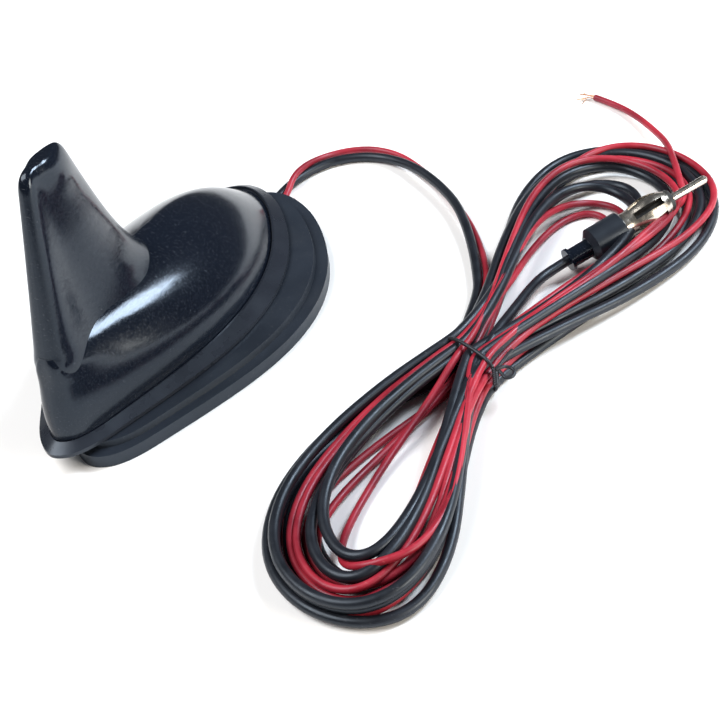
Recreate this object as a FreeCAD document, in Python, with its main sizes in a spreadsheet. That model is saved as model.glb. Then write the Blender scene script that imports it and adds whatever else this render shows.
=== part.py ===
"""Amplified shark-fin roof antenna: fin cover, base, loose rubber pad, tied hank of coax and
power wire, antenna plug. Millimetres, +Z up, origin at the bottom centre of head and pad,
+X towards the round end of the head."""

import FreeCAD, Part
import Sketcher
import math
import os
from FreeCAD import Placement, Rotation, Vector

DIMENSIONS = (
    ("head_x", "-1.5"),
    ("head_y", "6"),
    ("skirt_length", "130"),
    ("skirt_width", "64"),
    ("skirt_bottom", "6.2"),
    ("skirt_edge", "1.1"),
    ("skirt_height", "2.8"),
    ("skirt_slope", "9.6"),
    ("cover_seat", "8"),
    ("land_bottom", "7.3"),
    ("tray_top", "8.2"),
    ("seal_thickness", "0.6"),
    ("wall", "1.9"),
    ("pad_x", "1.8"),
    ("pad_y", "-2"),
    ("pad_length", "127"),
    ("pad_width", "72"),
    ("pad_flange", "4"),
    ("pad_top", "5.9"),
    ("pad_step", "7.5"),
    ("pad_recess", "3.4"),
    ("pillar_radius", "3"),
    ("screw_radius", "1.4"),
    ("head_radius", "2.6"),
    ("board_length", "47"),
    ("board_width", "26"),
    ("board_thickness", "1.6"),
    ("board_bottom", "11.2"),
    ("gland_length", "17"),
    ("gland_width", "12"),
    ("gland_x", "16"),
    ("coax_diameter", "3"),
    ("power_diameter", "2.1"),
    ("hank_height", "5.4"),
    ("waist_height", "9.2"),
    ("tie_width", "3"),
    ("tie_thickness", "0.8"),
    ("collar_length", "7.4"),
    ("collar_radius", "2.85"),
    ("flange_radius", "3.45"),
    ("flange_length", "1"),
    ("boot_length", "11.8"),
    ("boot_radius", "5.3"),
    ("boot_chamfer", "1.5"),
    ("shell_length", "16"),
    ("shell_root", "4"),
    ("shell_bulge", "5"),
    ("shell_tip", "3.4"),
    ("shell_wall", "0.9"),
    ("slot_width", "2.1"),
    ("slot_count", "6"),
    ("core_radius", "2.3"),
    ("ring_length", "1.4"),
    ("ring_radius", "3.35"),
    ("pin_length", "13.1"),
    ("pin_radius", "1.25"),
    ("pin_round", "0.9"),
)

# Teardrop plan shared by the head and the pad: length fraction from the tail, half-width fraction.
TEARDROP = (
    (0.012, 0.13), (0.04, 0.24), (0.11, 0.40), (0.25, 0.67), (0.42, 0.92),
    (0.57, 1.0), (0.74, 0.89), (0.88, 0.61), (0.97, 0.29),
)

# Horizontal slices of the rounded body: height, tail x, nose x, half width, and how much the half
# width gains towards the tail, which makes the tail blunt.
BODY = (
    (8.0, -62.5, 59.6, 26.2, 0.0),
    (14.0, -62.4, 51.6, 24.6, 0.5),
    (20.0, -61.2, 43.5, 21.6, 1.0),
    (25.5, -59.8, 34.0, 17.0, 1.6),
    (29.5, -59.1, 24.5, 12.2, 2.3),
    (32.4, -58.4, 14.0, 7.0, 2.3),
    (33.8, -57.9, 6.0, 3.0, 2.0),
)

# The fin meets the rounded body at a crease of constant height. A slice is its height, rear x,
# rear half width, widest x, half width and front x.
CREASE_HEIGHT = 31.0
FIN_HEIGHTS = (22.0, 25.0, 28.0, 31.0, 34.0, 38.0, 44.0, 52.0, 61.0, 70.0, 76.5)
FIN_TOP = ((80.5, -44.0, 1.3, -37.0, 2.9, -25.6), (82.0, -41.6, 0.8, -37.0, 1.8, -28.5))


def fin_row(height):
    """A slice of the fin: straight leaning edges, with a flank and a front that flare at the crease."""
    drop = 77 - height
    above = max(height - CREASE_HEIGHT, 0)
    below = max(CREASE_HEIGHT - height, 0)
    rear = -45.5 - 0.28 * drop + 0.35 * below
    front = -23.8 + 0.352 * drop + 7.8 * math.exp(-above / 9) + 0.87 * below
    half = 3.9 + 4.9 * math.exp(-above / 11) + 0.445 * below
    widest = rear + (0.45 + 0.0041 * drop) * (front - rear)
    return height, rear, 1.6 + 0.033 * drop - 0.1 * below, widest, half, front


FIN = (*(fin_row(height) for height in FIN_HEIGHTS), *FIN_TOP)

PILLARS = ((24.0, 18.5), (24.0, -6.5), (-50.5, 6.0))
BOARD_CORNERS = ((-27.0, -4.0), (-27.0, 16.0), (14.0, -4.0), (14.0, 16.0))

# Routes of the uncoiled cords, gland or hank first.
COAX_LEAD = (
    (33, 4.4, 1.8), (43, 2.4, 1.7), (53.3, 0.2, 1.55), (62.7, -2.1, 1.55), (71.2, -3.1, 1.55),
    (80.2, -5.9, 1.55), (88, -11.5, 1.55), (92.4, -19.2, 1.55), (93.6, -27.9, 1.6), (90.7, -37, 2.4),
    (85, -45.8, 3.6), (77.6, -54.8, 3.75), (69, -63, 3.75), (59, -69.5, 3.3), (48.3, -75.1, 2.6),
    (37.7, -79.7, 2.4), (29, -83, 2.4),
)
POWER_LEAD = (
    (33, 0.8, 1.35), (43, -0.6, 1.3), (53, -2.6, 1.2), (61.2, -4.8, 1.2), (67.2, -5.6, 2.7),
    (72.6, -5.3, 4.5), (78, -5.6, 4.5), (84.6, -6.6, 3.3), (91.6, -9.4, 1.6), (96.8, -15.8, 1.15),
    (98.8, -24.4, 1.15), (96.4, -34.1, 1.15), (89.6, -43.8, 1.15), (81.1, -53.3, 1.15), (72.2, -61.7, 1.15),
    (62.6, -69.4, 1.15), (52.4, -75.8, 1.2), (43.4, -80.3, 1.6), (34.6, -84.1, 2.4),
)
COAX_TAIL = (
    (-4.4, -96.1, 9.2), (-0.3, -96.6, 9.8), (5.5, -97.1, 9.4), (11.8, -97.7, 8.4), (19.5, -98.5, 7.4),
    (26.2, -98.9, 6.2), (32.3, -99.4, 4.9), (38.4, -101.1, 4.3), (44.5, -105.7, 5),
)
POWER_TAIL = (
    (80.7, -132.6, 4.4), (88.4, -129.2, 5.8), (98.1, -125.5, 5.6), (110.7, -120.2, 4.4), (119.2, -114.3, 3),
    (128.5, -106.5, 1.9), (135.8, -97.7, 1.3), (139.8, -89.1, 1.2),
)
STRAND_END = (140.6, -84.7, 1.3)
PLUG_START = COAX_TAIL[-1]
PLUG_DIRECTION = (36.2, -33.0, 8.0)

# Plan of the hank: outer outline and the open inside of its two loops.
HANK_OUTLINE = (
    (3, -80), (-16, -68.6), (-34, -60.6), (-50, -56.6), (-67, -57.2), (-82, -62.2), (-95, -74.5),
    (-100, -88), (-96.5, -100), (-88, -107.5), (-76, -111), (-60, -110.5), (-44, -106.5), (-26, -101),
    (-12, -101.5), (0, -104.5), (8, -115), (18, -129), (36, -138.8), (59, -141.8), (85, -138.8),
    (104, -130.5), (114.5, -115), (112, -100), (99, -91), (76, -84.5), (40, -80.2), (20, -79.6),
)
LOWER_HOLE = (
    (-32, -86), (-41, -79.6), (-54, -74), (-68, -76), (-77, -82.6), (-78, -89), (-68, -93.4), (-50, -93.2),
)
UPPER_HOLE = (
    (29, -96.5), (48, -95), (66, -96.5), (80, -104), (84, -114), (79, -123), (66, -128.5), (46, -128),
    (33, -114),
)
TIE_CENTRE = (-6.6, -92.4)
TIE_ANGLE = 61.0

doc = FreeCAD.newDocument("roof_antenna")
sheet = doc.addObject("Spreadsheet::Sheet", "Dims")
for row, (alias, text) in enumerate(DIMENSIONS, start=1):
    sheet.set(f"A{row}", alias)
    sheet.set(f"B{row}", text)
    sheet.setAlias(f"B{row}", alias)
doc.recompute()


def dim(name):
    return float(sheet.get(name))


def formula(text):
    """The expression in which every dimension's name points at the sheet."""
    names = {alias for alias, _ in DIMENSIONS}
    words = str(text).split(" ")
    return " ".join("Dims." + word if word in names else word for word in words)


def bind(thing, **expressions):
    for prop, text in expressions.items():
        thing.setExpression(prop, formula(text))
    return thing


def value(text):
    return float(sheet.evalExpression(formula(text)))


def smooth_loop(points):
    curve = Part.BSplineCurve()
    curve.interpolate(Points=points, PeriodicFlag=True)
    return Part.Wire(curve.toShape())


def teardrop(length, width, centre_x, centre_y, height, tail_gain=0.0):
    tail = centre_x - length / 2
    right = []
    for u, w in TEARDROP:
        half = w * width / 2 + tail_gain * (1 - u) ** 3
        right.append(Vector(tail + u * length, centre_y - half, height))
    left = [Vector(p.x, 2 * centre_y - p.y, height) for p in reversed(right)]
    ends = Vector(tail, centre_y, height), Vector(tail + length, centre_y, height)
    return smooth_loop([ends[0]] + right + [ends[1]] + left)


def fin_slice(height, rear, rear_half, wide_x, half, front):
    centre = dim("head_y")
    flank = rear_half * 0.55 + half * 0.45
    side = [(rear + 0.5, rear_half), ((rear + wide_x) / 2, flank), (wide_x, half)]
    side += [(wide_x + 0.62 * (front - wide_x), half * 0.8)]
    right = [Vector(x, centre - y, height) for x, y in side]
    left = [Vector(p.x, 2 * centre - p.y, height) for p in reversed(right)]
    return smooth_loop([Vector(rear, centre, height)] + right + [Vector(front, centre, height)] + left)


def plan(name, wire):
    thing = doc.addObject("Part::Feature", name)
    thing.Shape = wire
    return thing


def slab(name, wire, thickness):
    """Extrude a closed flat wire upwards by a formula."""
    thing = doc.addObject("Part::Extrusion", name)
    thing.Base = plan(name + "_plan", wire)
    thing.DirMode = "Custom"
    thing.Dir = Vector(0, 0, 1)
    thing.Solid = True
    return bind(thing, LengthFwd=thickness)


def head_slab(name, inset, bottom, thickness):
    """Slab with the head's plan, smaller by inset on every side."""
    length = dim("skirt_length") - 2 * inset
    width = dim("skirt_width") - 2 * inset
    return slab(name, teardrop(length, width, dim("head_x"), dim("head_y"), bottom), thickness)


def pad_slab(name, inset, bottom, thickness):
    length = dim("pad_length") - 2 * inset
    width = dim("pad_width") - 2 * inset
    return slab(name, teardrop(length, width, dim("pad_x"), dim("pad_y"), bottom), thickness)


def loft(name, wires, ruled=False):
    thing = doc.addObject("Part::Loft", name)
    thing.Sections = [plan(f"{name}_{k}", wire) for k, wire in enumerate(wires)]
    thing.Solid = True
    thing.Ruled = ruled
    return thing


def box(name, corner, size):
    """Box from its corner; each size is a formula or a number."""
    thing = doc.addObject("Part::Box", name)
    for prop, text in zip(("Length", "Width", "Height"), size):
        bind(thing, **{prop: str(text)})
    thing.Placement = Placement(Vector(*corner), Rotation())
    return thing


def cylinder(name, base, radius, height):
    thing = doc.addObject("Part::Cylinder", name)
    bind(thing, Radius=str(radius), Height=str(height))
    thing.Placement = Placement(Vector(*base), Rotation())
    return thing


def cut(name, base, tool):
    thing = doc.addObject("Part::Cut", name)
    thing.Base = base
    thing.Tool = tool
    return thing


def fuse(name, shapes):
    thing = doc.addObject("Part::MultiFuse", name)
    thing.Shapes = shapes
    return thing


def origin_plane(body, role):
    return next(f for f in body.Origin.OriginFeatures if f.Role == role)


def revolved_body(name, profile):
    """Body turned about its X axis from a closed profile of (x formula, radius formula)."""
    body = doc.addObject("PartDesign::Body", name)
    sketch = body.newObject("Sketcher::SketchObject", name + "_profile")
    sketch.AttachmentSupport = (origin_plane(body, "XZ_Plane"), [""])
    sketch.MapMode = "FlatFace"
    numbers = [(value(x), value(r)) for x, r in profile]
    count = len(profile)
    for k in range(count):
        start = Vector(*numbers[k], 0)
        end = Vector(*numbers[(k + 1) % count], 0)
        sketch.addGeometry(Part.LineSegment(start, end))
    for k in range(count):
        sketch.addConstraint(Sketcher.Constraint("Coincident", k, 2, (k + 1) % count, 1))
    for k, (x, r) in enumerate(profile):
        for kind, text, number in (("DistanceX", x, numbers[k][0]), ("DistanceY", r, numbers[k][1])):
            if number == 0:
                axis = -2 if kind == "DistanceX" else -1
                sketch.addConstraint(Sketcher.Constraint("PointOnObject", k, 1, axis))
            else:
                index = sketch.addConstraint(Sketcher.Constraint(kind, -1, 1, k, 1, number))
                sketch.setExpression(f"Constraints[{index}]", formula(text))
    turned = body.newObject("PartDesign::Revolution", name + "_turned")
    turned.Profile = sketch
    turned.ReferenceAxis = (sketch, ["H_Axis"])
    turned.Angle = 360
    return body


def cord_path(points):
    """Straight runs joined by tangent arcs as large as the runs allow; returns the wire and the radii."""
    corners = [Vector(*p) for p in points]
    edges = []
    radii = []
    at = corners[0]
    for before, corner, after in zip(corners, corners[1:], corners[2:]):
        back = (before - corner).normalize()
        ahead = (after - corner).normalize()
        half_turn = (math.pi - back.getAngle(ahead)) / 2
        trim = 0.45 * min(before.distanceToPoint(corner), corner.distanceToPoint(after))
        radius = trim / math.tan(half_turn)
        first = corner + back * trim
        last = corner + ahead * trim
        inward = (back + ahead).normalize()
        middle = corner + inward * (radius / math.cos(half_turn) - radius)
        edges.append(Part.LineSegment(at, first).toShape())
        edges.append(Part.Arc(first, middle, last).toShape())
        radii.append(radius)
        at = last
    edges.append(Part.LineSegment(at, corners[-1]).toShape())
    return Part.Wire(edges), radii


def cord(name, points, diameter):
    """Tube along a route; prints its length, smallest bend and volume check."""
    path, radii = cord_path(points)
    radius = dim(diameter) / 2
    start = Vector(*points[0])
    direction = Vector(*points[1]) - start
    section = Part.Wire(Part.makeCircle(radius, start, direction))
    thing = doc.addObject("Part::Feature", name)
    thing.Shape = path.makePipeShell([section], True, False)
    expected = math.pi * radius ** 2 * path.Length
    ratio = thing.Shape.Volume / expected
    print(f"{name}: length {path.Length:.1f} volume ratio {ratio:.4f}")
    print(f"{name}: radii", " ".join(f"{bend:.1f}" for bend in radii))
    return thing


# Cover: rounded body and fin, hollow, with three screw pillars that reach the roof.
def cover_skin(name, inset):
    centre = dim("head_y")
    body_rows = BODY[:6] if inset else BODY
    fin_rows = FIN[1:-2] if inset else FIN
    body_wires = []
    for height, rear, front, half, gain in body_rows:
        length = front - rear - 2.6 * inset
        middle = (rear + front) / 2 - 0.1 * inset
        body_wires.append(
            teardrop(length, 2 * (half - inset), middle, centre, height - 0.95 * inset, gain))
    fin_wires = []
    for height, rear, rear_half, wide_x, half, front in fin_rows:
        rear_inside = max(0.5, rear_half - 0.85 * inset)
        fin_wires.append(fin_slice(
            height - 0.85 * inset, rear + 1.4 * inset, rear_inside, wide_x,
            half - 0.9 * inset, front - 1.3 * inset))
    skin = doc.addObject("Part::Feature", name)
    rounded = Part.makeLoft(body_wires, True, False)
    skin.Shape = rounded.fuse(Part.makeLoft(fin_wires, True, False), 0.01)
    return skin


outside = cover_skin("cover_outside", 0)
inside = cover_skin("cover_inside", dim("wall"))
pillars = []
bores = []
for k, (x, y) in enumerate(PILLARS):
    pillars.append(cylinder(f"pillar_{k}", (x, y, 9.7), "pillar_radius", 32))
    bores.append(cylinder(f"pillar_bore_{k}", (x, y, 9), "screw_radius + 0.05", 8))
cavity = cut("cover_cavity", inside, fuse("pillar_set", pillars))
cut("fin_cover", cut("cover_shell", outside, cavity), fuse("pillar_bores", bores))

# Skirt: flared satin trim round the foot of the cover, rebated for the cover above and the tray below.
skirt_bottom = dim("skirt_bottom")
skirt_length = dim("skirt_length")
skirt_width = dim("skirt_width")
head_x = dim("head_x")
head_y = dim("head_y")
edge_top = skirt_bottom + dim("skirt_edge")
skirt_top = skirt_bottom + dim("skirt_height")
top_length = skirt_length - 0.7 * dim("skirt_slope")
top_width = skirt_width - dim("skirt_slope")
flare = loft("skirt_flare", [
    teardrop(skirt_length, skirt_width, head_x, head_y, skirt_bottom),
    teardrop(skirt_length, skirt_width, head_x, head_y, edge_top),
    teardrop(top_length, top_width, head_x + 0.2, head_y, skirt_top),
], ruled=True)
foot_rear, foot_front, foot_half = BODY[0][1:4]
rebate_gap = 0.3
rebate_wire = teardrop(
    foot_front - foot_rear + 2 * rebate_gap, 2 * (foot_half + rebate_gap),
    (foot_rear + foot_front) / 2, head_y, dim("cover_seat"))
skirt_voids = fuse("skirt_voids", [
    head_slab("skirt_opening", 10.5, skirt_bottom - 1, "skirt_height + 2"),
    slab("skirt_top_rebate", rebate_wire, "skirt_height"),
    head_slab("skirt_bottom_rebate", 6.7, skirt_bottom - 1, "land_bottom - skirt_bottom + 1"),
])
cut("base_skirt", flare, skirt_voids)

# Tray: moulded floor of the head, with a neck hole for the gland and three counterbored screw holes.
seal_bottom = dim("land_bottom") - dim("seal_thickness")
tray_flange = head_slab("tray_flange", 7, skirt_bottom, "land_bottom - seal_thickness - skirt_bottom")
tray_plug = head_slab("tray_plug", 10.8, skirt_bottom + 0.2, "tray_top - skirt_bottom - 0.2")
neck_length = 9.0
neck_width = 8.0
neck_corner = (dim("gland_x") + 4, head_y - neck_width / 2)


def neck_hole(name, gap, bottom, height):
    """Tool for the gland neck's hole, wider than the neck by gap on every side."""
    corner = (neck_corner[0] - gap, neck_corner[1] - gap, bottom)
    return box(name, corner, (neck_length + 2 * gap, neck_width + 2 * gap, height))


tray_holes = [neck_hole("tray_neck_hole", 0.2, 5, 5)]
for k, (x, y) in enumerate(PILLARS):
    tray_holes.append(cylinder(f"tray_hole_{k}", (x, y, 5), "screw_radius + 0.2", 5))
    tray_holes.append(cylinder(f"tray_counterbore_{k}", (x, y, 5), "head_radius + 0.2", "2.5"))
cut("base_tray", fuse("tray_solid", [tray_flange, tray_plug]), fuse("tray_holes", tray_holes))

# Flat rubber seal between the tray's flange and the skirt's land.
seal_outer = head_slab("seal_outer", 7.2, seal_bottom, "seal_thickness")
cut("seal_ring", seal_outer, head_slab("seal_inner", 10.4, seal_bottom - 1, 4))

# Ground plate on the tray.
plate_holes = [neck_hole("plate_neck_hole", 0.3, 7, 4)]
for k, (x, y) in enumerate(PILLARS):
    plate_holes.append(cylinder(f"plate_hole_{k}", (x, y, 7), "screw_radius + 0.3", 4))
plate_solid = head_slab("plate_solid", 12.5, dim("tray_top"), 1)
cut("ground_plate", plate_solid, fuse("plate_holes", plate_holes))

# Screws that hold cover, plate and tray together, heads sunk in the tray.
screws = []
for k, (x, y) in enumerate(PILLARS):
    screws.append(cylinder(f"screw_head_{k}", (x, y, 6.4), "head_radius", 1.1))
    screws.append(cylinder(f"screw_shank_{k}", (x, y, 7.4), "screw_radius", 9))
recesses = []
for k, (x, y) in enumerate(PILLARS):
    recesses.append(box(f"screw_slot_{k}", (x - 2, y - 0.4, 6), (4, 0.8, 0.9)))
cut("cover_screws", fuse("screws", screws), fuse("screw_slots", recesses))

# Circuit board on four spacers.
board_top = dim("board_bottom") + dim("board_thickness")
board_bottom = dim("board_bottom")
plate_top = 9.2
board_slab = box(
    "board_slab", (-30, head_y - dim("board_width") / 2, board_bottom),
    ("board_length", "board_width", "board_thickness"))
board_holes = []
spacer_bodies = []
spacer_bores = []
for k, (x, y) in enumerate(BOARD_CORNERS):
    board_holes.append(cylinder(f"board_hole_{k}", (x, y, 10), 1.1, 4))
    spacer_bodies.append(cylinder(f"spacer_{k}", (x, y, plate_top), 2, board_bottom - plate_top))
    spacer_bores.append(cylinder(f"spacer_bore_{k}", (x, y, 9), 1.1, 4))
cut("circuit_board", board_slab, fuse("board_holes", board_holes))
cut("board_spacers", fuse("spacer_set", spacer_bodies), fuse("spacer_bores", spacer_bores))
board_screws = []
for k, (x, y) in enumerate(BOARD_CORNERS):
    board_screws.append(cylinder(f"board_screw_head_{k}", (x, y, board_top), 1.9, 1.3))
    board_screws.append(cylinder(f"board_screw_shank_{k}", (x, y, 9.6), 1, board_top - plate_top))
fuse("board_screws", board_screws)

# Amplifier under its shielding can.
can_outer = box("can_outer", (-11, -1.5, board_top), (20, 15, 4.5))
can_inner = box("can_inner", (-10.6, -1.1, board_top - 1), (19.2, 14.2, 5.1))
cut("amplifier_can", can_outer, can_inner)
box("amplifier_chip", (-4.5, 2.5, board_top), (7, 7, 1))
coil = doc.addObject("Part::Torus", "filter_coil")
coil.Radius1 = 2.3
coil.Radius2 = 0.9
coil.Placement = Placement(Vector(-20, 14.5, board_top + 0.9), Rotation())

# Antenna element: upright board in the fin, held by two sprung clips on the circuit board.
element_points = (
    (-44, 13.2), (-14, 13.2), (-15, 30), (-24, 58), (-30, 73), (-41, 73), (-45.5, 56), (-45.5, 40),
)
element_corners = [Vector(x, head_y - 0.5, z) for x, z in element_points]
element_wire = Part.makePolygon(element_corners + element_corners[:1])
element = doc.addObject("Part::Extrusion", "element_board")
element.Base = plan("element_plan", element_wire)
element.DirMode = "Custom"
element.Dir = Vector(0, 1, 0)
element.Solid = True
bind(element, LengthFwd="board_thickness - 0.6")
clip_blocks = []
clip_slots = []
for k, x in enumerate((-27.5, -19)):
    clip_blocks.append(box(f"clip_block_{k}", (x, dim("head_y") - 1.6, board_top), (3, 3.2, 3)))
    clip_slots.append(box(f"clip_slot_{k}", (x - 1, dim("head_y") - 0.5, board_top + 0.4), (5, 1, 4)))
cut("contact_clips", fuse("clip_set", clip_blocks), fuse("clip_slots", clip_slots))

# Gland below the tray, its neck through the tray and plate.
gland_block = box(
    "gland_block", (dim("gland_x"), head_y - dim("gland_width") / 2, 0.5),
    ("gland_length", "gland_width", "skirt_bottom - 0.5"))
gland_neck = box("gland_neck", (*neck_corner, 5), (neck_length, neck_width, 5.4))
fuse("cable_gland", [gland_block, gland_neck])

# Loose rubber pad: flange, raised middle, hollow underside, gland opening and cable way at the nose.
pad_flange = pad_slab("pad_flange_slab", 0, 0, "pad_flange")
pad_length = dim("pad_length") - dim("pad_step")
pad_width = dim("pad_width") - dim("pad_step")
pad_middle = loft("pad_middle", [
    teardrop(pad_length, pad_width, dim("pad_x"), dim("pad_y"), dim("pad_flange") - 0.5),
    teardrop(pad_length, pad_width, dim("pad_x"), dim("pad_y"), dim("pad_flange")),
    teardrop(pad_length - 1, pad_width - 1, dim("pad_x"), dim("pad_y"), dim("pad_top")),
], ruled=True)
pad_voids = fuse("pad_voids", [
    pad_slab("pad_underside", 5.5, -1, "pad_recess + 1"),
    box("pad_opening", (14, -9, -1), (24, 23.5, "pad_top + 2")),
    box("pad_cable_way", (55, -14.6, -1), (15, 16.2, "pad_recess + 1")),
])
cut("base_pad", fuse("pad_solid", [pad_flange, pad_middle]), pad_voids)

# Cords that lie uncoiled.
cord("coax_lead", COAX_LEAD, "coax_diameter")
cord("power_lead", POWER_LEAD, "power_diameter")
cord("coax_tail", COAX_TAIL, "coax_diameter")
cord("power_tail", POWER_TAIL, "power_diameter")
cord_end = Vector(*POWER_TAIL[-1])
strand_axis = Vector(*STRAND_END) - cord_end
strands = doc.addObject("Part::Feature", "copper_strands")
strands.Shape = Part.makeCone(0.6, 1.1, strand_axis.Length, cord_end, strand_axis)

# Hank: two flat loops with a raised waist under the twist tie.
hank_flat = slab("hank_flat", smooth_loop([Vector(x, y, 0) for x, y in HANK_OUTLINE]), "hank_height")
hank_holes = fuse("hank_holes", [
    slab("lower_hole", smooth_loop([Vector(x, y, -1) for x, y in LOWER_HOLE]), "hank_height + 2"),
    slab("upper_hole", smooth_loop([Vector(x, y, -1) for x, y in UPPER_HOLE]), "hank_height + 2"),
])
waist_length = 26.0
waist_width = 19.0
tie_turn = Rotation(Vector(0, 0, 1), TIE_ANGLE - 90)


def tie_box(name, length, width, height, lift=0.0):
    """Box centred on the tie, its length along the cords that the tie holds."""
    thing = box(name, (0, 0, 0), (length, width, height))
    corner = tie_turn.multVec(Vector(-length / 2, -width / 2, 0))
    thing.Placement = Placement(Vector(*TIE_CENTRE, lift) + corner, tie_turn)
    return thing


def tie_band(name):
    """Flat band round the waist."""
    thickness = dim("tie_thickness")
    width = dim("tie_width")
    outer = tie_box(name + "_outer", width, waist_width + 2 * thickness, "waist_height + tie_thickness")
    inner = tie_box(name + "_inner", width + 2, waist_width, "waist_height - tie_thickness", thickness)
    return cut(name, outer, inner)


waist = tie_box("hank_waist", waist_length, waist_width, "waist_height")
tail_route = (
    (-11.4, -100.8, 9.4), (-14, -104.2, 10.4), (-12.4, -108, 10.6), (-7.8, -107.6, 10.4),
    (-5.4, -103.4, 10.2),
)
tail_wire = cord_path(tail_route)[0]
tail_start = Vector(*tail_route[0])
tail_circle = Part.makeCircle(0.7, tail_start, Vector(*tail_route[1]) - tail_start)
tie_tail = doc.addObject("Part::Feature", "tie_tail")
tie_tail.Shape = tail_wire.makePipeShell([Part.Wire(tail_circle)], True, False)
fuse("twist_tie", [tie_band("tie_band"), tie_tail])
hank_solid = fuse("hank_solid", [cut("hank_loops", hank_flat, hank_holes), waist])
cut("lead_hank", hank_solid, tie_band("tie_space"))

# Plug: turned pieces on one axis, cable end first.
plug_turn = Rotation(Vector(1, 0, 0), Vector(*PLUG_DIRECTION))
plug_axis = Vector(*PLUG_DIRECTION).normalize()
plug_start = Vector(*PLUG_START)
collar = revolved_body("plug_collar", (
    ("0", "0"), ("0", "flange_radius"), ("flange_length", "flange_radius"),
    ("flange_length", "collar_radius"),
    ("collar_length", "collar_radius"), ("collar_length", "0")))
boot = revolved_body("plug_boot", (
    ("0", "0"), ("0", "boot_radius - 1.3 * boot_chamfer"), ("boot_chamfer", "boot_radius"),
    ("boot_length - 0.4", "boot_radius"), ("boot_length", "boot_radius - 0.4"), ("boot_length", "0")))
insulator = revolved_body("plug_insulator", (
    ("0", "0"), ("0", "core_radius"), ("shell_length", "core_radius"), ("shell_length", "ring_radius"),
    ("shell_length + ring_length - 0.3", "ring_radius"),
    ("shell_length + ring_length", "ring_radius - 0.3"), ("shell_length + ring_length", "0")))
pin = revolved_body("plug_pin", (
    ("0", "0"), ("0", "pin_radius"), ("pin_length - pin_round", "pin_radius"),
    ("pin_length - 0.3", "pin_radius - 0.35"), ("pin_length", "pin_radius - 0.8"), ("pin_length", "0")))
shell_length = dim("shell_length")
root = dim("shell_root")
bulge = dim("shell_bulge")
tip = dim("shell_tip")
bore = tip - dim("shell_wall")
outer_profile = Part.BSplineCurve()
outer_profile.interpolate(Points=[
    Vector(1.2, 0, root), Vector(4, 0, root + 0.15), Vector(0.55 * shell_length, 0, bulge),
    Vector(0.8 * shell_length, 0, bulge - 0.45), Vector(shell_length, 0, tip)])
inside_corners = [
    Vector(shell_length, 0, tip), Vector(shell_length, 0, bore), Vector(0.8 * shell_length, 0, bore),
    Vector(0.55 * shell_length, 0, bulge - dim("shell_wall")), Vector(3, 0, bore), Vector(0, 0, bore),
    Vector(0, 0, root), Vector(1.2, 0, root),
]
shell_wire = Part.Wire([outer_profile.toShape()] + Part.makePolygon(inside_corners).Edges)
turned_shell = doc.addObject("Part::Revolution", "turned_shell")
turned_shell.Source = plan("shell_profile", shell_wire)
turned_shell.Axis = Vector(1, 0, 0)
turned_shell.Angle = 360
turned_shell.Solid = True
slots = []
for k in range(int(dim("slot_count"))):
    slot = box(f"shell_slot_{k}", (0, 0, 0), (0.62 * shell_length, "slot_width", 5))
    turn = Rotation(Vector(1, 0, 0), 30 + 360 * k / dim("slot_count"))
    sideways = turn.multVec(Vector(0, -dim("slot_width") / 2, 2))
    slot.Placement = Placement(Vector(0.24 * shell_length, 0, 0) + sideways, turn)
    slots.append(slot)
slotted_shell = cut("plug_shell", turned_shell, fuse("shell_slots", slots))
along = 0.0
for piece, step in (
    (collar, dim("collar_length")), (boot, dim("boot_length")), (slotted_shell, 0),
    (insulator, shell_length + dim("ring_length")), (pin, 0),
):
    piece.Placement = Placement(plug_start + plug_axis * along, plug_turn)
    along += step

NODES = (
    "fin_cover", "base_skirt", "base_tray", "seal_ring", "ground_plate", "cover_screws", "circuit_board",
    "board_spacers", "board_screws", "amplifier_can", "amplifier_chip", "filter_coil", "element_board",
    "contact_clips", "cable_gland", "base_pad", "coax_lead", "power_lead", "lead_hank", "coax_tail",
    "power_tail", "copper_strands", "twist_tie", "plug_collar", "plug_boot", "plug_shell", "plug_insulator",
    "plug_pin",
)
doc.recompute()
for thing in doc.Objects:
    if "Invalid" in thing.State or "Error" in thing.State:
        raise SystemExit(f"{thing.Name} failed: {thing.State}")
pieces = []
for node in NODES:
    piece = doc.getObject(node)
    piece.Label = node
    shape = piece.Shape
    if shape.isNull() or not shape.isValid() or not shape.Solids:
        raise SystemExit(f"{node} has no valid solid")
    print(f"{node}: {len(shape.Solids)} solids, volume {shape.Volume:.1f}, {shape.BoundBox}")
    pieces.append(piece)
os.makedirs("parts", exist_ok=True)
for piece in pieces:
    piece.Shape.exportStep(f"parts/{piece.Label}.step")
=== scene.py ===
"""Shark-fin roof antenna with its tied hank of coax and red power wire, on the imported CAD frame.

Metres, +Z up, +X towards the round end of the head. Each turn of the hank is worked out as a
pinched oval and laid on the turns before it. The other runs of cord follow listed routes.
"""

import math

import bpy
import numpy as np
from mathutils import Matrix, Vector


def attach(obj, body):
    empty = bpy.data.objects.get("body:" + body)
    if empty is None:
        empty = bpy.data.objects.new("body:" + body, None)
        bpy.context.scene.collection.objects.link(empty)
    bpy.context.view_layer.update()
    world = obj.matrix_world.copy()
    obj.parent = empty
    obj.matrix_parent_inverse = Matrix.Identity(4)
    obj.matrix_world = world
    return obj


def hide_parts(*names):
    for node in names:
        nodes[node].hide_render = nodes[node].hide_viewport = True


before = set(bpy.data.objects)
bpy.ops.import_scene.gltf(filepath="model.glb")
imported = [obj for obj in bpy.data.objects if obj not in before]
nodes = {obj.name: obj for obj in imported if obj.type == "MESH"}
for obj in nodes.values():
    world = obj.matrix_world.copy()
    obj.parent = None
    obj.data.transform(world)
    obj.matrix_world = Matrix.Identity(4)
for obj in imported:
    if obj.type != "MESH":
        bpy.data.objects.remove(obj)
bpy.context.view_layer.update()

COAX_RADIUS = 0.0015
POWER_RADIUS = 0.00105

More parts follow.
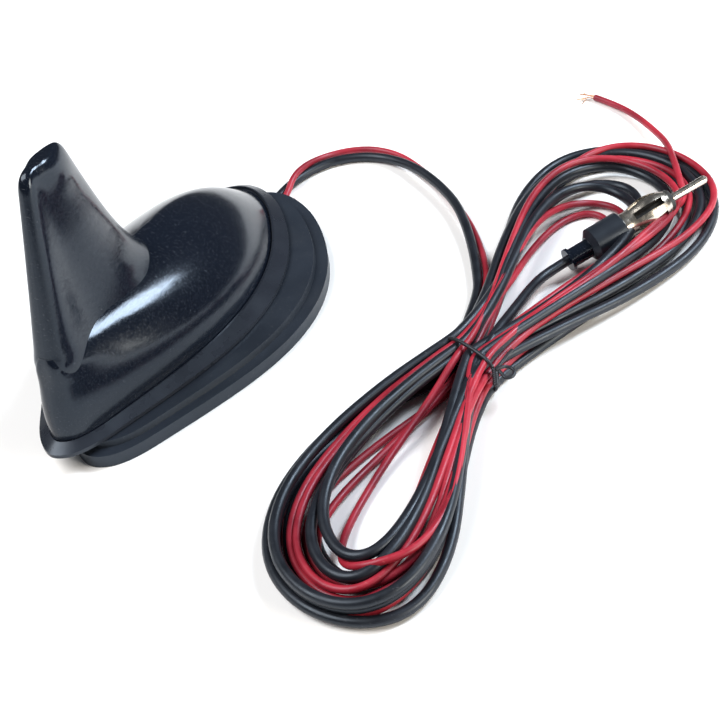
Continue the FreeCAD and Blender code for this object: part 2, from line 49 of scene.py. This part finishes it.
# Routes of the cords outside the hank. The leads run from the gland to the hank, and the tails from
# the hank to the plug and to the cut end.
COAX_LEAD = (
    (0.033, 0.0044, 0.0018), (0.043, 0.0024, 0.0017), (0.0533, 0.0002, 0.00155),
    (0.0627, -0.0021, 0.00155), (0.0712, -0.0031, 0.00155), (0.0802, -0.0059, 0.00155),
    (0.088, -0.0115, 0.00155), (0.0924, -0.0192, 0.00155), (0.0936, -0.0279, 0.0016),
    (0.0907, -0.037, 0.0024), (0.085, -0.0458, 0.0036), (0.0776, -0.0548, 0.00375),
    (0.069, -0.063, 0.00375), (0.059, -0.0695, 0.0033), (0.0483, -0.0751, 0.0026),
    (0.0377, -0.0797, 0.0024), (0.029, -0.083, 0.0024),
)
POWER_LEAD = (
    (0.033, 0.0008, 0.00135), (0.043, -0.0006, 0.0013), (0.053, -0.0026, 0.0012),
    (0.0612, -0.0048, 0.0012), (0.0672, -0.0056, 0.0027), (0.0726, -0.0053, 0.0045),
    (0.078, -0.0056, 0.0045), (0.0846, -0.0066, 0.0033), (0.0916, -0.0094, 0.0016),
    (0.0968, -0.0158, 0.00115), (0.0988, -0.0244, 0.00115), (0.0964, -0.0341, 0.00115),
    (0.0896, -0.0438, 0.00115), (0.0811, -0.0533, 0.00115), (0.0722, -0.0617, 0.00115),
    (0.0626, -0.0694, 0.00115), (0.0524, -0.0758, 0.0012), (0.0434, -0.0803, 0.0016),
    (0.0346, -0.0841, 0.0024),
)
# One point between each lead and its first turn in the hank.
COAX_JOIN = (0.0125, -0.0848, 0.0032)
POWER_JOIN = (0.0160, -0.0872, 0.0036)
COAX_TAIL = (
    (-0.0044, -0.0961, 0.0092), (-0.0003, -0.0966, 0.0098), (0.0055, -0.0971, 0.0094),
    (0.0118, -0.0977, 0.0084), (0.0195, -0.0985, 0.0074), (0.0262, -0.0989, 0.0062),
    (0.0323, -0.0994, 0.0049), (0.0384, -0.1011, 0.0043), (0.0445, -0.1057, 0.005),
)
POWER_TAIL = (
    (0.0807, -0.1326, 0.0044), (0.0884, -0.1292, 0.0058), (0.0981, -0.1255, 0.0056),
    (0.1107, -0.1202, 0.0044), (0.1192, -0.1143, 0.003), (0.1285, -0.1065, 0.0019),
    (0.1358, -0.0977, 0.0013), (0.1398, -0.0891, 0.0012),
)

# The tie's place, the direction across the cords that it holds, towards the head, and the greatest
# height of the cords' upper side.
TIE = Vector((-0.0066, -0.0924, 0))
ACROSS = Vector((0.486, 0.874, 0))
WAIST_TOP = 0.0111

# How the cords lie on one another and on the floor.
FLOOR_GAP = 0.0001
PRESS = 0.88  # crossing cords touch at this share of the sum of their radii, as soft sheaths do
SAG = 0.0004  # how far a cord hangs under the mean height of its neighbouring points
SAMPLES_PER_POINT = 6


class Lobe:
    """One half of the hank: ovals that start at the tie and are pinched towards it."""

    def __init__(self, axis, drift):
        self.axis = Vector((*axis, 0)).normalized()
        self.normal = Vector((-self.axis.y, self.axis.x, 0))
        if self.normal.dot(ACROSS) < 0:
            self.normal.negate()
        self.drift = drift

    def point(self, share, side, reach, width, pinch, slot):
        """Plan point at a share of the reach, on side 1, towards the head, or -1, away from it.

        The side is width from the axis at its widest, and opens later with more pinch.
        """
        widest = (1 + 2 * pinch) / (2 + 2 * pinch)
        peak = math.sqrt(widest * (1 - widest)) * widest ** pinch
        bulge = width * math.sqrt(share * (1 - share)) * share ** pinch / peak
        across = side * bulge + self.drift * share ** 2
        gathered = ACROSS * (slot * (1 - share) ** 3)
        return TIE + self.axis * (reach * share) + self.normal * across + gathered


LOWER = Lobe((-0.99, 0.13), -0.006)
UPPER = Lobe((0.96, -0.275), 0.008)
STEPS = 13  # the points of a turn divide its way from the tie and back into this many steps
WHOLE_TURN = range(1, STEPS)
LAST_TURN = range(1, 5)  # the power wire leaves the hank for its tail here

# Each turn of a cord through a lobe: reach, width towards the head, width away from it, and the
# pinch of each of those two sides.
COAX_LOWER = (
    (0.087, 0.026, 0.017, 0.50, 0.9), (0.093, 0.030, 0.022, 0.40, 1.0),
    (0.091, 0.028, 0.019, 0.45, 0.8), (0.081, 0.019, 0.009, 0.55, 0.9),
    (0.092, 0.027, 0.020, 0.45, 0.8), (0.084, 0.018, 0.011, 0.55, 0.8),
    (0.078, 0.017, 0.009, 0.50, 0.7),
)
COAX_UPPER = (
    (0.110, 0.024, 0.025, 1.0, 0.9), (0.118, 0.032, 0.032, 1.0, 0.8),
    (0.115, 0.028, 0.028, 0.9, 0.9), (0.098, 0.017, 0.012, 1.1, 0.9),
    (0.106, 0.021, 0.021, 1.0, 0.8), (0.091, 0.015, 0.016, 1.1, 0.7),
)
POWER_LOWER = (
    (0.091, 0.028, 0.018, 0.40, 0.9), (0.082, 0.021, 0.006, 1.00, 1.4),
    (0.088, 0.024, 0.015, 0.50, 0.7), (0.084, 0.015, 0.017, 1.00, 0.6),
    (0.087, 0.022, 0.013, 0.50, 0.7), (0.080, 0.009, 0.018, 0.80, 0.8),
)
POWER_UPPER = (
    (0.113, 0.025, 0.024, 1.0, 1.1), (0.082, 0.012, 0.010, 1.0, 0.8),
    (0.119, 0.023, 0.030, 1.0, 1.3), (0.087, 0.013, 0.014, 1.0, 0.9),
    (0.106, 0.022, 0.023, 1.0, 1.3), (0.113, 0.025, 0.020, 1.0, 0.7),
)
# Where each turn passes under the tie, measured across the bundle from its middle.
COAX_SLOTS_LEFT = (0.0077, 0.0047, 0.0016, 0.0062, 0.0084, 0.0032, 0.0046)
COAX_SLOTS_RIGHT = (-0.0075, -0.0045, -0.0014, -0.0060, -0.0030, 0.0001, -0.0046)
POWER_SLOTS_LEFT = (0.0068, 0.0018, 0.0075, 0.0018, 0.0056, 0.0028)
POWER_SLOTS_RIGHT = (-0.0076, 0.0006, -0.0074, -0.0018, -0.0062, -0.0022)


def round_lobe(lobe, turn, first_side, slot_out, slot_back, steps):
    """Plan points of a turn round a lobe, out on first_side and back on the other side."""
    reach, left, right, left_pinch, right_pinch = turn
    points = []
    for step in steps:
        angle = 2 * math.pi * step / STEPS
        side = first_side if angle < math.pi else -first_side
        slot = slot_out if angle < math.pi else slot_back
        width, pinch = (left, left_pinch) if side > 0 else (right, right_pinch)
        points.append(lobe.point((1 - math.cos(angle)) / 2, side, reach, width, pinch, slot))
    return points


def spline_samples(points):
    """Samples of the quadratic spline of these control points, and the point nearest to each."""
    controls = np.array([tuple(p) for p in points])
    padded = np.vstack([controls[0], controls, controls[-1]])
    samples = []
    owners = []
    for index in range(1, len(padded) - 1):
        start = (padded[index - 1] + padded[index]) / 2
        end = (padded[index] + padded[index + 1]) / 2
        for t in np.linspace(0, 1, SAMPLES_PER_POINT, endpoint=False):
            samples.append((1 - t) ** 2 * start + 2 * t * (1 - t) * padded[index] + t * t * end)
            owners.append(index - 1)
    return np.array(samples), np.array(owners)


class Pile:
    """The cords laid so far, so that the next one can be laid on them."""

    def __init__(self):
        self.places = np.zeros((0, 3))
        self.radii = np.zeros(0)

    def heights(self, points, radius):
        """The height at which a cord rests on the cords below it, at each of its plan points."""
        samples, owners = spline_samples(points)
        needed = np.full(len(samples), radius + FLOOR_GAP)
        if len(self.places):
            for index, sample in enumerate(samples):
                gap = np.hypot(self.places[:, 0] - sample[0], self.places[:, 1] - sample[1])
                touch = (self.radii + radius) * PRESS
                near = gap < touch
                if near.any():
                    rise = np.sqrt(touch[near] ** 2 - gap[near] ** 2)
                    needed[index] = max(needed[index], (self.places[near, 2] + rise).max())
        return np.array([needed[owners == k].max() for k in range(len(points))])

    def add(self, points, radius):
        samples, _ = spline_samples(points)
        self.places = np.vstack([self.places, samples])
        self.radii = np.append(self.radii, np.full(len(samples), radius))

    def lay(self, points, radius):
        """Plan points with heights, eased so that the cord bends over what it crosses."""
        rests = self.heights(points, radius)
        eased = rests.copy()
        for k in range(1, len(rests) - 1):
            eased[k] = max(rests[k], 0.5 * (rests[k - 1] + rests[k + 1]) - SAG)
        eased = np.minimum(eased, WAIST_TOP - radius)
        laid = [Vector((p.x, p.y, z)) for p, z in zip(points, eased)]
        self.add(laid, radius)
        return laid


def waist(slot):
    """Plan point under the tie, at a distance across the bundle from its middle."""
    return TIE + ACROSS * slot


def hank_turns(pile):
    """Control points of both cords inside the hank, the two wound together, turn by turn."""
    coax = []
    power = []
    for k in range(len(COAX_LOWER)):
        left, right = COAX_SLOTS_LEFT[k], COAX_SLOTS_RIGHT[k]
        plan = [waist(left)] + round_lobe(LOWER, COAX_LOWER[k], 1, left, right, WHOLE_TURN)
        if k < len(COAX_UPPER):
            plan.append(waist(right))
            back = COAX_SLOTS_LEFT[k + 1]
            plan += round_lobe(UPPER, COAX_UPPER[k], -1, right, back, WHOLE_TURN)
        coax += pile.lay(plan, COAX_RADIUS)
        if k < len(POWER_LOWER):
            left, right = POWER_SLOTS_LEFT[k], POWER_SLOTS_RIGHT[k]
            plan = [waist(left)] + round_lobe(LOWER, POWER_LOWER[k], 1, left, right, WHOLE_TURN)
            plan.append(waist(right))
            last = k == len(POWER_LOWER) - 1
            back = left if last else POWER_SLOTS_LEFT[k + 1]
            steps = LAST_TURN if last else WHOLE_TURN
            plan += round_lobe(UPPER, POWER_UPPER[k], -1, right, back, steps)
            power += pile.lay(plan, POWER_RADIUS)
    return coax, power


def nurbs_curve(name, points, radius, material, closed=False):
    """A round cord or wire along a smooth line with these control points."""
    curve = bpy.data.curves.new(name, "CURVE")
    curve.dimensions = "3D"
    curve.bevel_depth = radius
    curve.bevel_resolution = 5
    curve.use_fill_caps = True
    spline = curve.splines.new("NURBS")
    spline.points.add(len(points) - 1)
    for spot, place in zip(spline.points, points):
        spot.co = (*place, 1)
    spline.order_u = 3
    spline.use_endpoint_u = not closed
    spline.use_cyclic_u = closed
    spline.resolution_u = 8
    curve.materials.append(material)
    piece = bpy.data.objects.new(name, curve)
    bpy.context.scene.collection.objects.link(piece)
    return piece


COOL_GLOSS = (0.74, 0.86, 1.0, 1)  # plastic and rubber reflect a little blue, as in the photo


class Finish:
    """Builds one procedural material from layers of noise."""

    def __init__(self, name, metallic=0.0, coat=0.0, specular=0.5):
        self.material = bpy.data.materials.new(name)
        self.material.use_nodes = True
        self.tree = self.material.node_tree
        self.shader = self.tree.nodes["Principled BSDF"]
        self.shader.inputs["Metallic"].default_value = metallic
        self.shader.inputs["Coat Weight"].default_value = coat
        self.shader.inputs["Coat Roughness"].default_value = 0.06
        self.shader.inputs["Specular IOR Level"].default_value = specular
        if not metallic:
            self.shader.inputs["Specular Tint"].default_value = COOL_GLOSS
        self.place = self.tree.nodes.new("ShaderNodeTexCoord").outputs["Object"]
        self.normal = None

    def node(self, kind, **settings):
        made = self.tree.nodes.new(kind)
        for key, setting in settings.items():
            setattr(made, key, setting)
        return made

    def link(self, start, end):
        self.tree.links.new(start, end)

    def noise(self, scale, detail=4.0, stretch=(1, 1, 1), turn=(0, 0, 0)):
        """Noise with features of about 1/scale metres, drawn out by stretch."""
        mapping = self.node("ShaderNodeMapping")
        mapping.inputs["Scale"].default_value = stretch
        mapping.inputs["Rotation"].default_value = turn
        self.link(self.place, mapping.inputs["Vector"])
        noise = self.node("ShaderNodeTexNoise")
        noise.inputs["Scale"].default_value = scale
        noise.inputs["Detail"].default_value = detail
        self.link(mapping.outputs["Vector"], noise.inputs["Vector"])
        return noise.outputs["Fac"]

    def band(self, source, low, high, start=0.0, end=1.0):
        """Remaps source so that low to high become start to end."""
        remap = self.node("ShaderNodeMapRange")
        limits = {"From Min": low, "From Max": high, "To Min": start, "To Max": end}
        for label, number in limits.items():
            remap.inputs[label].default_value = number
        self.link(source, remap.inputs["Value"])
        return remap.outputs["Result"]

    def colour(self, first, second, source):
        """Gives the shader a colour between the two, by source."""
        mix = self.node("ShaderNodeMix", data_type="RGBA")
        mix.inputs[6].default_value = (*first, 1)
        mix.inputs[7].default_value = (*second, 1)
        self.link(source, mix.inputs[0])
        self.link(mix.outputs[2], self.shader.inputs["Base Color"])
        return mix

    def over(self, below, tint, source):
        """Lays a tint over the colour that the mix below makes, by source."""
        mix = self.node("ShaderNodeMix", data_type="RGBA")
        self.link(below.outputs[2], mix.inputs[6])
        mix.inputs[7].default_value = (*tint, 1)
        self.link(source, mix.inputs[0])
        self.link(mix.outputs[2], self.shader.inputs["Base Color"])

    def rough(self, source):
        self.link(source, self.shader.inputs["Roughness"])

    def add(self, first, second):
        total = self.node("ShaderNodeMath", operation="ADD")
        self.link(first, total.inputs[0])
        self.link(second, total.inputs[1])
        return total.outputs[0]

    def bump(self, source, depth, strength):
        """Adds relief to whatever relief the material has so far."""
        bump = self.node("ShaderNodeBump")
        bump.inputs["Strength"].default_value = strength
        bump.inputs["Distance"].default_value = depth
        self.link(source, bump.inputs["Height"])
        if self.normal is not None:
            self.link(self.normal, bump.inputs["Normal"])
        self.normal = bump.outputs["Normal"]
        self.link(self.normal, self.shader.inputs["Normal"])


def gloss_black(name):
    """Moulded gloss plastic: near black, faint swirls and hairline scratches, a few dust specks."""
    made = Finish(name, specular=0.42)
    base = made.colour((0.0026, 0.0042, 0.0085), (0.0060, 0.0090, 0.0165), made.noise(30))
    swirl = made.noise(500, 3.0, (1, 14, 3), (0.3, 0.2, 0.9))
    scratch = made.noise(420, 2.0, (22, 1, 5), (0.1, 0.5, -0.5))
    hair = made.band(scratch, 0.66, 0.70)
    specks = made.band(made.noise(900, 1.0), 0.79, 0.82)
    made.over(base, (0.16, 0.17, 0.19), made.band(made.add(hair, specks), 0.0, 2.0, 0.0, 0.5))
    haze = made.band(swirl, 0.3, 0.8, 0.08, 0.26)
    made.rough(made.add(haze, made.band(scratch, 0.64, 0.72, 0.0, 0.22)))
    made.bump(swirl, 0.00002, 0.45)
    made.bump(made.noise(55, 2.0), 0.00012, 0.12)
    return made.material


def satin_black(name, tint, rough, grain=1600, depth=0.00003, dust=0.0):
    """Finely grained dark plastic or rubber, with dust where wanted."""
    made = Finish(name, specular=0.4)
    lighter = tuple(1.9 * channel for channel in tint)
    base = made.colour(tint, lighter, made.noise(45, 5.0))
    if dust:
        specks = made.band(made.noise(1300, 1.0), 0.70, 0.74)
        film = made.band(made.noise(70, 6.0), 0.52, 0.85, 0.0, 0.5)
        made.over(base, (0.30, 0.30, 0.29), made.band(made.add(specks, film), 0.0, 2.0, 0.0, dust))
    made.rough(made.band(made.noise(120, 4.0), 0.3, 0.8, rough - 0.08, rough + 0.1))
    made.bump(made.noise(grain, 3.0), depth, 0.5)
    return made.material


def sheath(name, dark, light, rough, scuff):
    """Extruded PVC: slight colour drift, fine die lines, scuffs."""
    made = Finish(name, specular=0.45)
    base = made.colour(dark, light, made.band(made.noise(60, 4.0), 0.35, 0.65))
    marks = made.band(made.noise(700, 2.0, (3, 1, 1)), 0.66, 0.74)
    made.over(base, scuff, made.band(marks, 0.0, 1.0, 0.0, 0.35))
    made.rough(made.band(made.noise(240, 4.0), 0.3, 0.8, rough - 0.07, rough + 0.12))
    made.bump(made.noise(260, 3.0), 0.00003, 0.20)
    made.bump(made.noise(2200, 2.0), 0.00001, 0.25)
    return made.material


def plated(name, dark, light, rough, grain=(1, 1, 26)):
    """Plated or bare metal with turning marks and dull patches."""
    made = Finish(name, metallic=1.0)
    base = made.colour(dark, light, made.noise(160, 5.0))
    made.over(base, (0.20, 0.17, 0.13), made.band(made.noise(420, 5.0), 0.60, 0.78, 0.0, 0.45))
    made.rough(made.band(made.noise(380, 5.0), 0.3, 0.8, rough - 0.06, rough + 0.16))
    made.bump(made.noise(900, 2.0, grain), 0.00001, 0.35)
    return made.material


def board_mask(name):
    """Green solder mask."""
    made = Finish(name, coat=0.3)
    made.colour((0.01, 0.10, 0.035), (0.02, 0.18, 0.06), made.noise(260, 4.0))
    made.rough(made.band(made.noise(300, 4.0), 0.3, 0.8, 0.25, 0.45))
    made.bump(made.noise(900, 3.0), 0.00002, 0.3)
    return made.material


black_coax = sheath(
    "coax_sheath", (0.005, 0.006, 0.009), (0.011, 0.012, 0.017), 0.40, (0.08, 0.08, 0.09))
red_power = sheath(
    "power_sheath", (0.20, 0.008, 0.018), (0.40, 0.021, 0.039), 0.42, (0.50, 0.11, 0.12))
nickel = plated("nickel_plate", (0.52, 0.48, 0.42), (0.74, 0.70, 0.63), 0.22)
steel = plated("zinc_steel", (0.42, 0.42, 0.42), (0.62, 0.62, 0.61), 0.34)
brass = plated("turned_brass", (0.50, 0.34, 0.13), (0.70, 0.50, 0.22), 0.30)
copper = plated("bare_copper", (0.36, 0.17, 0.09), (0.62, 0.34, 0.20), 0.36, (8, 8, 1))
tie_plastic = satin_black("tie_plastic", (0.012, 0.012, 0.014), 0.38)
board = board_mask("board_mask")

NODE_FINISH = {
    "fin_cover": gloss_black("cover_gloss"),
    "base_skirt": satin_black("skirt_satin", (0.010, 0.012, 0.017), 0.30, 900),
    "base_tray": satin_black("tray_plastic", (0.014, 0.014, 0.016), 0.55),
    "seal_ring": satin_black("seal_rubber", (0.018, 0.018, 0.018), 0.75),
    "ground_plate": plated("plate_metal", (0.48, 0.48, 0.49), (0.66, 0.66, 0.67), 0.35),
    "cover_screws": steel,
    "circuit_board": board,
    "board_spacers": brass,
    "board_screws": steel,
    "amplifier_can": plated("tinned_can", (0.50, 0.50, 0.48), (0.68, 0.68, 0.65), 0.30),
    "amplifier_chip": satin_black("chip_plastic", (0.014, 0.014, 0.014), 0.6),
    "filter_coil": copper,
    "element_board": board,
    "contact_clips": brass,
    "cable_gland": satin_black("gland_plastic", (0.011, 0.011, 0.012), 0.42),
    "base_pad": satin_black("pad_rubber", (0.010, 0.013, 0.019), 0.42, 1500, 0.00004, 0.10),
    "plug_collar": gloss_black("collar_gloss"),
    "plug_boot": satin_black("boot_plastic", (0.008, 0.010, 0.014), 0.36),
    "plug_shell": nickel,
    "plug_insulator": satin_black("insulator_plastic", (0.020, 0.019, 0.018), 0.5),
    "plug_pin": nickel,
}
for node, material in NODE_FINISH.items():
    nodes[node].data.materials.clear()
    nodes[node].data.materials.append(material)

# The cords. The turns are laid on the ends of the leads, which run in under the hank.
UNDER_HANK = 5  # how many of each lead's points are there
pile = Pile()
pile.add([Vector(p) for p in POWER_LEAD[-UNDER_HANK:]], POWER_RADIUS)
pile.add([Vector(p) for p in COAX_LEAD[-UNDER_HANK:]], COAX_RADIUS)
coax_turns, power_turns = hank_turns(pile)
coax = nurbs_curve(
    "coax_cord", [*COAX_LEAD, COAX_JOIN, *coax_turns, *COAX_TAIL], COAX_RADIUS, black_coax)
power = nurbs_curve(
    "power_cord", [*POWER_LEAD, POWER_JOIN, *power_turns, *POWER_TAIL], POWER_RADIUS, red_power)

# Copper strands that fan out of the power wire's cut end.
STRAND_START = Vector(POWER_TAIL[-1])
STRAND_RADIUS = 0.00014
BUNDLE_RADIUS = 0.0005
BUNDLE_ANGLE = 2.4  # from each strand to the next round the bundle, in radians
STRAND_TIPS = (
    (0.1412, -0.0842, 0.0012), (0.1400, -0.0830, 0.0019), (0.1377, -0.0831, 0.0010),
    (0.1354, -0.0857, 0.0009), (0.1368, -0.0838, 0.0016), (0.1390, -0.0843, 0.0024),
    (0.1408, -0.0850, 0.0021), (0.1383, -0.0848, 0.0007),
)


def strand_points(tip, k):
    """Strand number k leaves the cord straight and bends to its own tip."""
    bow = Vector((0.0009, -0.0001, 0)) if k % 2 else Vector((-0.0003, 0.0006, 0))
    angle = k * BUNDLE_ANGLE
    start = STRAND_START + Vector((math.cos(angle), 0, math.sin(angle))) * BUNDLE_RADIUS
    leave = start + Vector((0.0006, 0.0022, 0))
    middle = (leave + Vector(tip)) / 2 + bow
    return [start, leave, middle, Vector(tip)]


strands = [
    nurbs_curve(f"copper_strand_{k}", strand_points(tip, k), STRAND_RADIUS, copper)
    for k, tip in enumerate(STRAND_TIPS)]

# Twist tie: a wire round the waist, a twisted knot, a loop and a free end. The wrap's points are
# distances across the bundle from its middle, and heights.
WRAP_RADIUS = 0.00055
TIE_WIRE_RADIUS = 0.0005
HALF_WAIST = 0.0098
WRAP = (
    (HALF_WAIST, 0.0060), (0.0092, 0.0102), (0.0052, 0.0118), (0.0, 0.0120), (-0.0050, 0.0117),
    (-0.0088, 0.0104), (-HALF_WAIST, 0.0066), (-HALF_WAIST, 0.0022), (-0.0080, 0.0006),
    (0.0, 0.0006), (0.0080, 0.0006), (HALF_WAIST, 0.0022),
)
KNOT = (Vector((-0.0110, -0.1010, 0.0092)), Vector((-0.0150, -0.1024, 0.0070)))
KNOT_RADIUS = 0.00055
KNOT_TURNS = 4
KNOT_POINTS_PER_TURN = 8
TIE_LOOP = (
    (-0.0108, -0.1012, 0.0092), (-0.0122, -0.1032, 0.0090), (-0.0138, -0.1046, 0.0086),
    (-0.0124, -0.1066, 0.0086), (-0.0100, -0.1062, 0.0088), (-0.0094, -0.1040, 0.0092),
    (-0.0108, -0.1024, 0.0098), (-0.0118, -0.1016, 0.0096),
)
TIE_END = (
    (-0.0112, -0.1014, 0.0096), (-0.0096, -0.1024, 0.0102), (-0.0062, -0.1026, 0.0098),
    (-0.0022, -0.1030, 0.0088),
)


def knot_wire(name, phase):
    """One of the knot's two wires, which wind round one line."""
    start, end = KNOT
    along = end - start
    sideways = along.orthogonal().normalized()
    upwards = along.normalized().cross(sideways)
    count = KNOT_TURNS * KNOT_POINTS_PER_TURN
    points = []
    for step in range(count + 1):
        angle = 2 * math.pi * KNOT_TURNS * step / count + phase
        spin = sideways * math.cos(angle) + upwards * math.sin(angle)
        points.append(start + along * (step / count) + spin * KNOT_RADIUS)
    return nurbs_curve(name, points, TIE_WIRE_RADIUS, tie_plastic)


wrap_line = [waist(across) + Vector((0, 0, height)) for across, height in WRAP]
wrap = nurbs_curve("tie_wrap", wrap_line, WRAP_RADIUS, tie_plastic, closed=True)
tie_pieces = [
    wrap,
    knot_wire("tie_twist_0", 0),
    knot_wire("tie_twist_1", math.pi),
    nurbs_curve("tie_loop", TIE_LOOP, TIE_WIRE_RADIUS, tie_plastic),
    nurbs_curve("tie_end", TIE_END, TIE_WIRE_RADIUS, tie_plastic),
]

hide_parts("coax_lead", "coax_tail", "lead_hank")
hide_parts("power_lead", "power_tail", "lead_hank")
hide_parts("twist_tie")
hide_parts("copper_strands")
for piece in (coax, power, *strands, *tie_pieces):
    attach(piece, "antenna")

# The camera looks down on the head and the hank from the tail's side.
sight = Vector((0.6880, 0.3589, -0.6308)).normalized()
upward = Vector((0.6346, 0.1242, 0.7628))
sideways = sight.cross(upward).normalized()
upward = sideways.cross(sight)
camera = bpy.data.objects.new("camera", bpy.data.cameras.new("camera"))
camera.matrix_world = Matrix.Translation((-0.3210, -0.2230, 0.2900)) @ Matrix((
    (sideways.x, upward.x, -sight.x, 0), (sideways.y, upward.y, -sight.y, 0),
    (sideways.z, upward.z, -sight.z, 0), (0, 0, 0, 1)))
camera.data.lens = 80.95
camera.data.sensor_width = 36
camera.data.clip_start = 0.01
bpy.context.scene.collection.objects.link(camera)
bpy.context.scene.camera = camera

# Floor, lights and world.
HALF_FLOOR = 4.0
floor_mesh = bpy.data.meshes.new("floor")
corners = [(HALF_FLOOR * x, HALF_FLOOR * y, 0) for x, y in ((-1, -1), (1, -1), (1, 1), (-1, 1))]
floor_mesh.from_pydata(corners, [], [(0, 1, 2, 3)])
floor = bpy.data.objects.new("floor", floor_mesh)
floor_finish = Finish("floor_paper", specular=0.2)
floor_finish.colour((0.93, 0.93, 0.93), (0.95, 0.95, 0.95), floor_finish.noise(3))
floor_finish.rough(floor_finish.band(floor_finish.noise(20), 0.3, 0.8, 0.75, 0.9))
floor_mesh.materials.append(floor_finish.material)
bpy.context.scene.collection.objects.link(floor)


def softbox(name, place, target, width, height, power_watts, tint):
    """A rectangular area light at place that faces target."""
    lamp = bpy.data.lights.new(name, "AREA")
    lamp.shape = "RECTANGLE"
    lamp.size = width
    lamp.size_y = height
    lamp.energy = power_watts
    lamp.color = tint
    holder = bpy.data.objects.new(name, lamp)
    holder.location = place
    holder.rotation_mode = "QUATERNION"
    holder.rotation_quaternion = (Vector(target) - Vector(place)).to_track_quat("-Z", "Y")
    bpy.context.scene.collection.objects.link(holder)


SCENE_MIDDLE = (0.01, -0.05, 0.0)
HEAD_MIDDLE = (0, 0, 0.04)
softbox("key_right", (0.55, -0.62, 0.80), SCENE_MIDDLE, 0.35, 0.35, 13.0, (0.84, 0.92, 1.0))
softbox("window", (-0.10, -1.00, 0.30), HEAD_MIDDLE, 0.45, 0.42, 9.0, (1.0, 0.91, 0.78))
softbox("top", (-0.5, 0.9, 1.5), SCENE_MIDDLE, 1.3, 1.3, 42.0, (1.0, 0.99, 0.98))
world = bpy.data.worlds.new("studio")
world.use_nodes = True
background = world.node_tree.nodes["Background"]
background.inputs["Color"].default_value = (0.92, 0.95, 1.0, 1)
background.inputs["Strength"].default_value = 0.10
bpy.context.scene.world = world
bpy.context.scene.view_settings.view_transform = "Standard"
